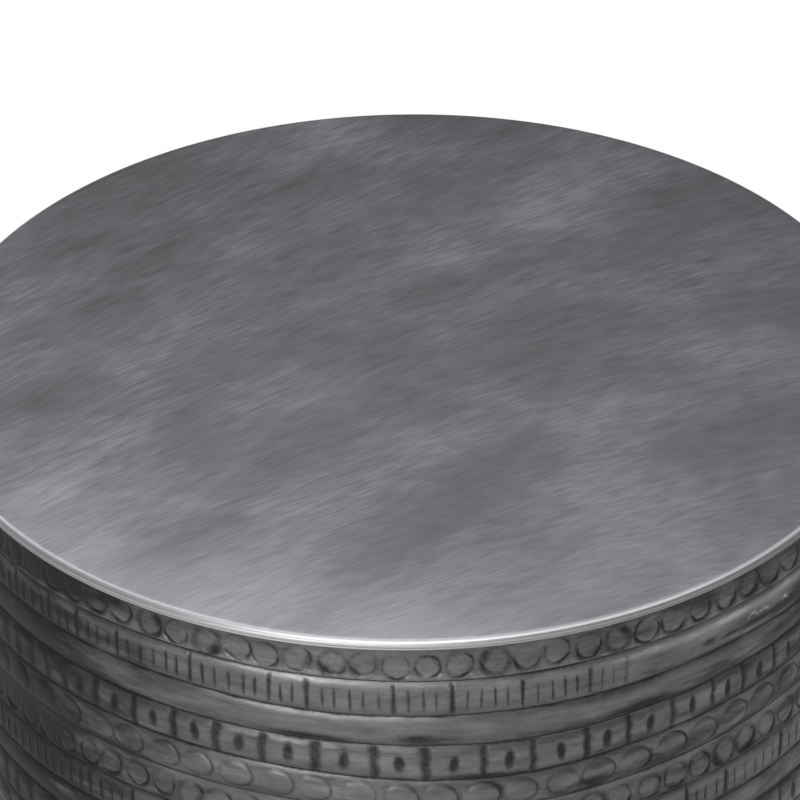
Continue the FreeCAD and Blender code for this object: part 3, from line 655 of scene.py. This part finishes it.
# the fan also paints the face lighter towards the right and the front, as shading
tone = layered(tree, [clouds, smudges, scratched, worn, fan], SHARES, 0.0)
face = [(0.26, "#5e5e5f"), (0.48, "#79797d"), (0.8, "#a2a4a8")]
face = add(tree, "ShaderNodeValToRGB", {"Fac": tone}, face).outputs["Color"]
# the edge is near white with painted highlight over a real burnish
rubbed = add(tree, "ShaderNodeAttribute", attribute_name="rubbed").outputs["Fac"]
base = {"Factor": rubbed, "A": face, "B": linear("#eeeeef")}
base = add(tree, "ShaderNodeMix", base, data_type="RGBA").outputs["Result"]
tree.links.new(base, shader.inputs["Base Color"])
gloss = add(tree, "ShaderNodeMapRange", {"Value": strokes, "To Min": 0.38, "To Max": 0.5}).outputs["Result"]
gloss = layered(tree, [rubbed], [-0.08], gloss)  # the burnish is a little smoother
tree.links.new(gloss, shader.inputs["Roughness"])
smoothed = {"Value": rubbed, "To Min": 0.25, "To Max": 0.0}
smoothed = add(tree, "ShaderNodeMapRange", smoothed).outputs["Result"]
grain = {"Height": strokes, "Strength": smoothed, "Distance": 0.05 * MM}
grain = add(tree, "ShaderNodeBump", grain)
tree.links.new(grain.outputs["Normal"], shader.inputs["Normal"])
sheet.data.materials.append(brushed_steel)
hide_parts("top_sheet")
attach(sheet, "root")


# Studio: a pale floor that turns to a white backdrop behind the object, a plain soft surround, a broad
# lamp overhead, two high ones in front and at the right, two small ones behind, and two low ones far off
# in front.
FLOOR_SIZE = 24
BACKDROP_START, BACKDROP_WHITE = 0.3, 0.75  # how far behind the object the floor turns white
bpy.ops.mesh.primitive_plane_add(size=FLOOR_SIZE, location=(0, 0, 0))
floor = bpy.context.object
floor.name = "floor"
paper, tree, shader = finish_of("white_paper", {"Base Color": linear("#e4e4e4"), "Roughness": 0.9})
where = add(tree, "ShaderNodeTexCoord").outputs["Object"]
behind = add(tree, "ShaderNodeSeparateXYZ", {0: where}).outputs["Y"]
white = {"Value": behind, "From Min": BACKDROP_START, "From Max": BACKDROP_WHITE}
blend = add(tree, "ShaderNodeMapRange", white, interpolation_type="SMOOTHSTEP").outputs["Result"]
path = add(tree, "ShaderNodeLightPath")
seen = path.outputs["Is Camera Ray"]
for ray in ("Is Glossy Ray", "Is Transmission Ray"):
    seen = add(tree, "ShaderNodeMath", {0: seen, 1: path.outputs[ray]}, operation="MAXIMUM").outputs[0]
share = add(tree, "ShaderNodeMath", {0: blend, 1: seen}, operation="MULTIPLY").outputs[0]
glow = add(tree, "ShaderNodeEmission", {"Color": (1, 1, 1, 1), "Strength": 1.0})
mixed = add(tree, "ShaderNodeMixShader", {0: share, 1: shader.outputs[0], 2: glow.outputs[0]})
below = add(tree, "ShaderNodeNewGeometry").outputs["Backfacing"]  # the floor is clear from underneath
clear = add(tree, "ShaderNodeBsdfTransparent")
mixed = add(tree, "ShaderNodeMixShader", {0: below, 1: mixed.outputs[0], 2: clear.outputs[0]})
output = next(node for node in tree.nodes if node.type == "OUTPUT_MATERIAL")
tree.links.new(mixed.outputs[0], output.inputs["Surface"])
floor.data.materials.append(paper)

SURROUND = 0.25
world = bpy.data.worlds.new("studio")
bpy.context.scene.world = world
world.use_nodes = True
world.node_tree.nodes["Background"].inputs["Color"].default_value = linear("#fbfaff")
world.node_tree.nodes["Background"].inputs["Strength"].default_value = SURROUND


def lamp(name, place, size, power, aim=(0, 0, 0.4)):
    """Round soft lamp aimed at the object."""
    light = bpy.data.lights.new(name, "AREA")
    light.shape = "DISK"
    light.size = size
    light.energy = power
    holder = bpy.data.objects.new(name, light)
    holder.location = place
    holder.rotation_euler = (Vector(aim) - Vector(place)).to_track_quat("-Z", "Y").to_euler()
    bpy.context.scene.collection.objects.link(holder)


lamp("overhead", (-0.25, 0.95, 2.3), 1.8, 14.5)
lamp("behind_left", (-1.7, 1.5, 1.9), 1.2, 6)
lamp("behind_right", (1.7, 1.5, 1.9), 1.2, 7)
lamp("high_front", (-0.2, -1.2, 2.2), 1.8, 13)
lamp("high_right", (1.4, -0.6, 2.2), 1.8, 6)
lamp("low_front", (-1.2, -5.4, 0.94), 4.4, 41)
lamp("low_left", (-2.6, -4.8, 0.94), 2.8, 18)

# Camera: a long lens that looks down on the table from in front, a little over a metre and a half from
# the rim, and is rolled and turned by less than a degree.
SENSOR = 36
FOCAL_LENGTH = 4200 / 800 * SENSOR
PITCH, ROLL, YAW = math.radians(33.816), math.radians(-0.612), math.radians(-0.156)
BACK, ABOVE = 1.48531, 0.970685  # in metres from the middle of the top
camera = bpy.data.objects.new("camera", bpy.data.cameras.new("camera"))
bpy.context.scene.collection.objects.link(camera)
camera.data.sensor_width = SENSOR
camera.data.lens = FOCAL_LENGTH
camera.data.clip_end = 100
forward = Vector((math.sin(YAW) * math.cos(PITCH), math.cos(YAW) * math.cos(PITCH), -math.sin(PITCH)))
right = Vector((math.cos(YAW), -math.sin(YAW), 0))
upward = right.cross(forward)
rolled_right = math.cos(ROLL) * right + math.sin(ROLL) * upward
rolled_up = math.cos(ROLL) * upward - math.sin(ROLL) * right
turn = Matrix((rolled_right, rolled_up, -forward)).transposed().to_4x4()
camera.matrix_world = Matrix.Translation((0, -BACK, RIM_LEVEL * MM + ABOVE)) @ turn
bpy.context.scene.camera = camera
bpy.context.scene.view_settings.view_transform = "Standard"
